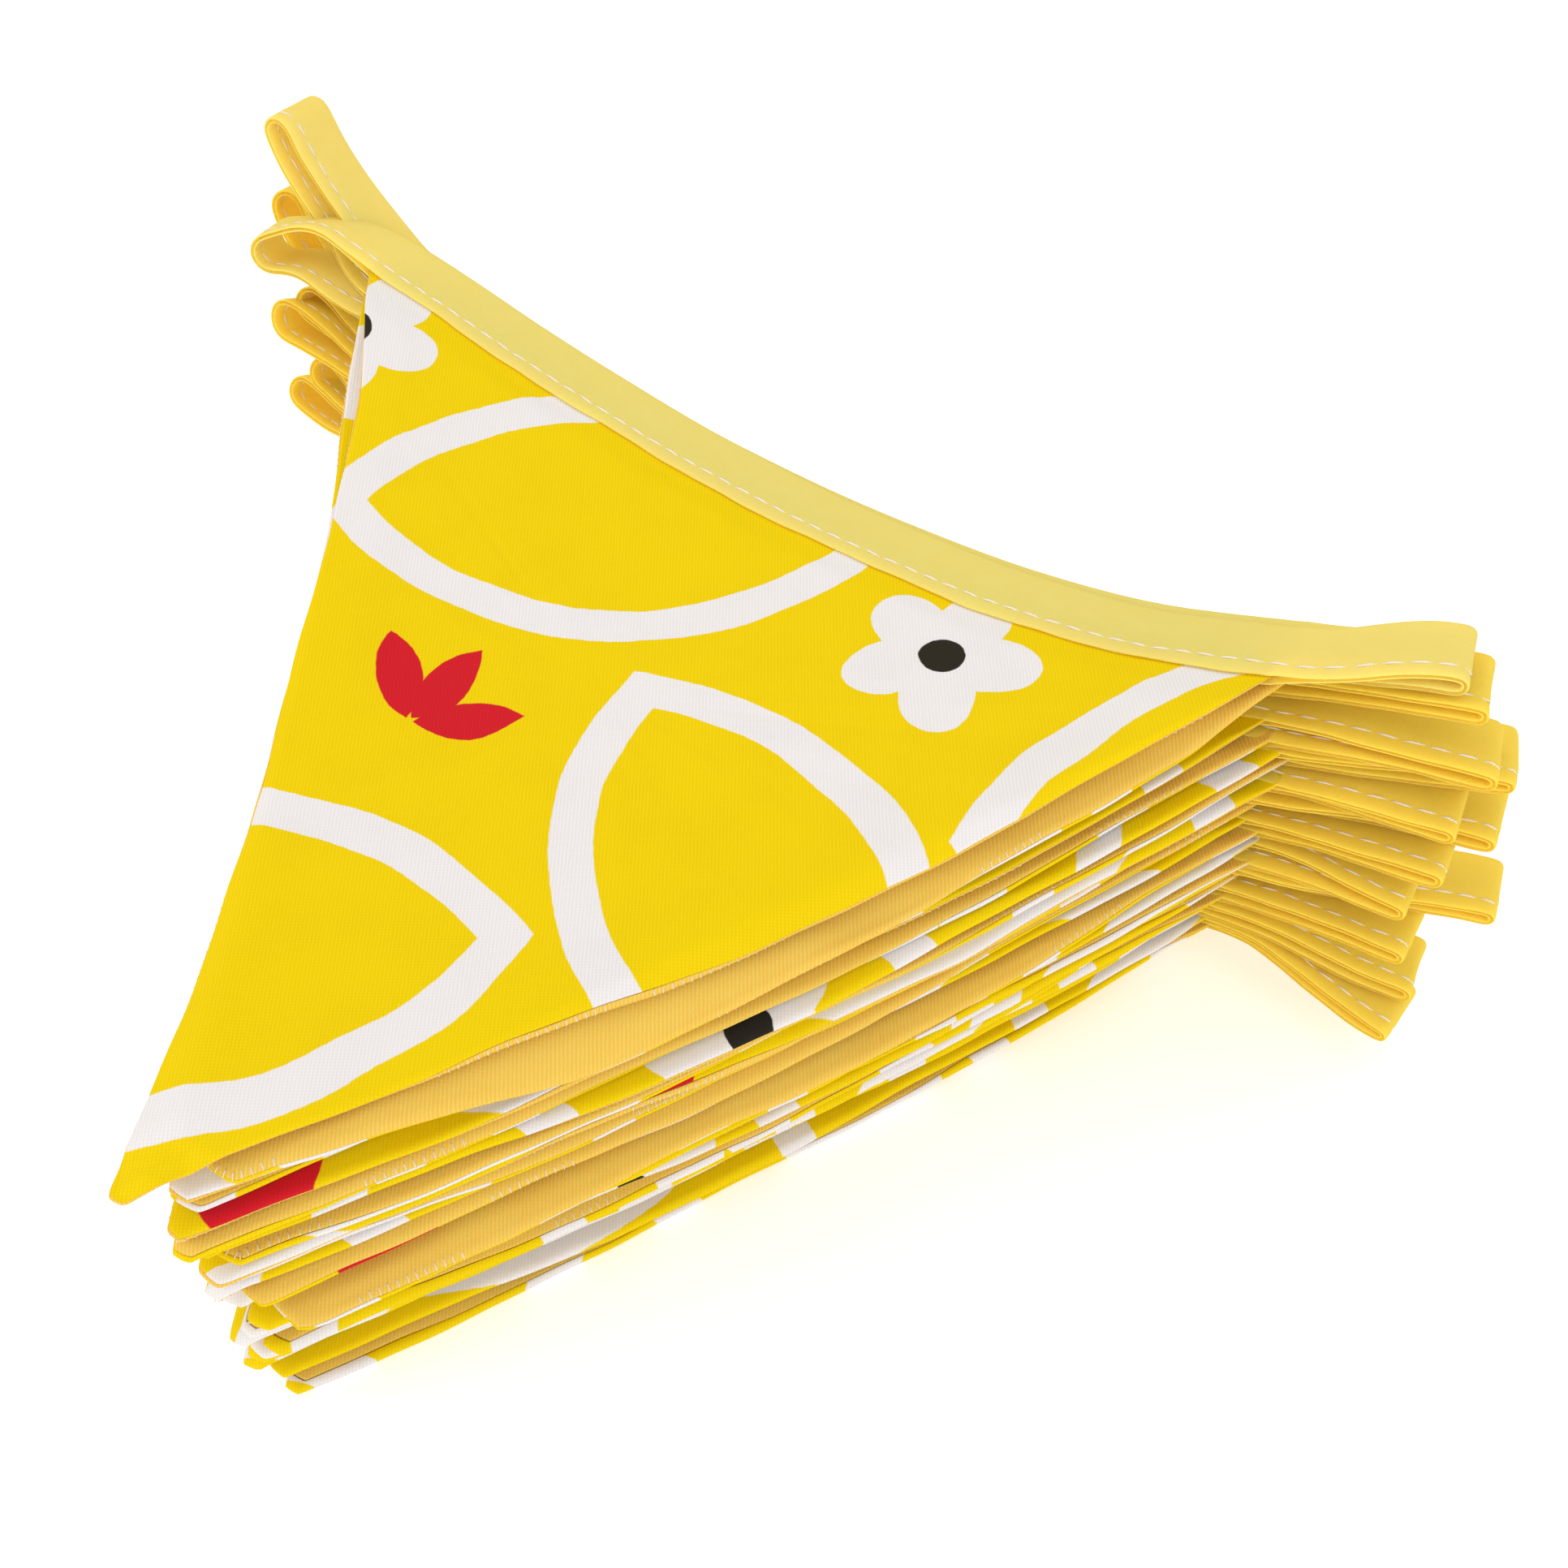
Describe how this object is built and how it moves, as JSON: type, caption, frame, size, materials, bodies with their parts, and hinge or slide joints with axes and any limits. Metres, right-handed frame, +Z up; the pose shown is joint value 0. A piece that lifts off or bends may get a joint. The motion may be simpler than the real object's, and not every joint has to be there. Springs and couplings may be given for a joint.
{
  "type": "folded string of pennant bunting",
  "caption": "String of triangular fabric pennants on a folded heading tape, fan-folded back and forth into a neat flat stack.",
  "frame": {"origin": "on the resting plane under the middle of the pennants, 50 mm in front of the heading tape's lower edge", "axes": "+X along the heading to the right corner, -Y towards the points, +Z up from the table"},
  "size_m": [0.2542, 0.1722, 0.0967],
  "materials": {
    "tape_cloth": "pale yellow cotton twill tape",
    "printed_twill": "printed cotton twill, yellow ground",
    "plain_twill": "plain golden cotton twill"
  },
  "bodies": {
    "root": {"heading_tape": "tape_cloth", "pennant_01_front": "printed_twill", "pennant_01_back": "plain_twill", "pennant_02_front": "printed_twill", "pennant_02_back": "plain_twill", "pennant_03_front": "printed_twill", "pennant_03_back": "plain_twill", "pennant_04_front": "printed_twill", "pennant_04_back": "plain_twill", "pennant_05_front": "printed_twill", "pennant_05_back": "plain_twill", "pennant_06_front": "printed_twill", "pennant_06_back": "plain_twill", "pennant_07_front": "printed_twill", "pennant_07_back": "plain_twill", "pennant_08_front": "printed_twill", "pennant_08_back": "plain_twill", "pennant_09_front": "printed_twill", "pennant_09_back": "plain_twill", "pennant_10_front": "printed_twill", "pennant_10_back": "plain_twill", "pennant_11_front": "printed_twill", "pennant_11_back": "plain_twill", "pennant_12_front": "printed_twill", "pennant_12_back": "plain_twill", "pennant_13_front": "printed_twill", "pennant_13_back": "plain_twill", "pennant_14_front": "printed_twill", "pennant_14_back": "plain_twill", "pennant_15_front": "printed_twill", "pennant_15_back": "plain_twill", "pennant_16_front": "printed_twill", "pennant_16_back": "plain_twill", "pennant_17_front": "printed_twill", "pennant_17_back": "plain_twill", "pennant_18_front": "printed_twill", "pennant_18_back": "plain_twill", "pennant_19_front": "printed_twill", "pennant_19_back": "plain_twill", "pennant_20_front": "printed_twill", "pennant_20_back": "plain_twill", "pennant_21_front": "printed_twill", "pennant_21_back": "plain_twill", "pennant_22_front": "printed_twill", "pennant_22_back": "plain_twill", "pennant_23_front": "printed_twill", "pennant_23_back": "plain_twill", "pennant_24_front": "printed_twill", "pennant_24_back": "plain_twill"}
  },
  "joints": []
}
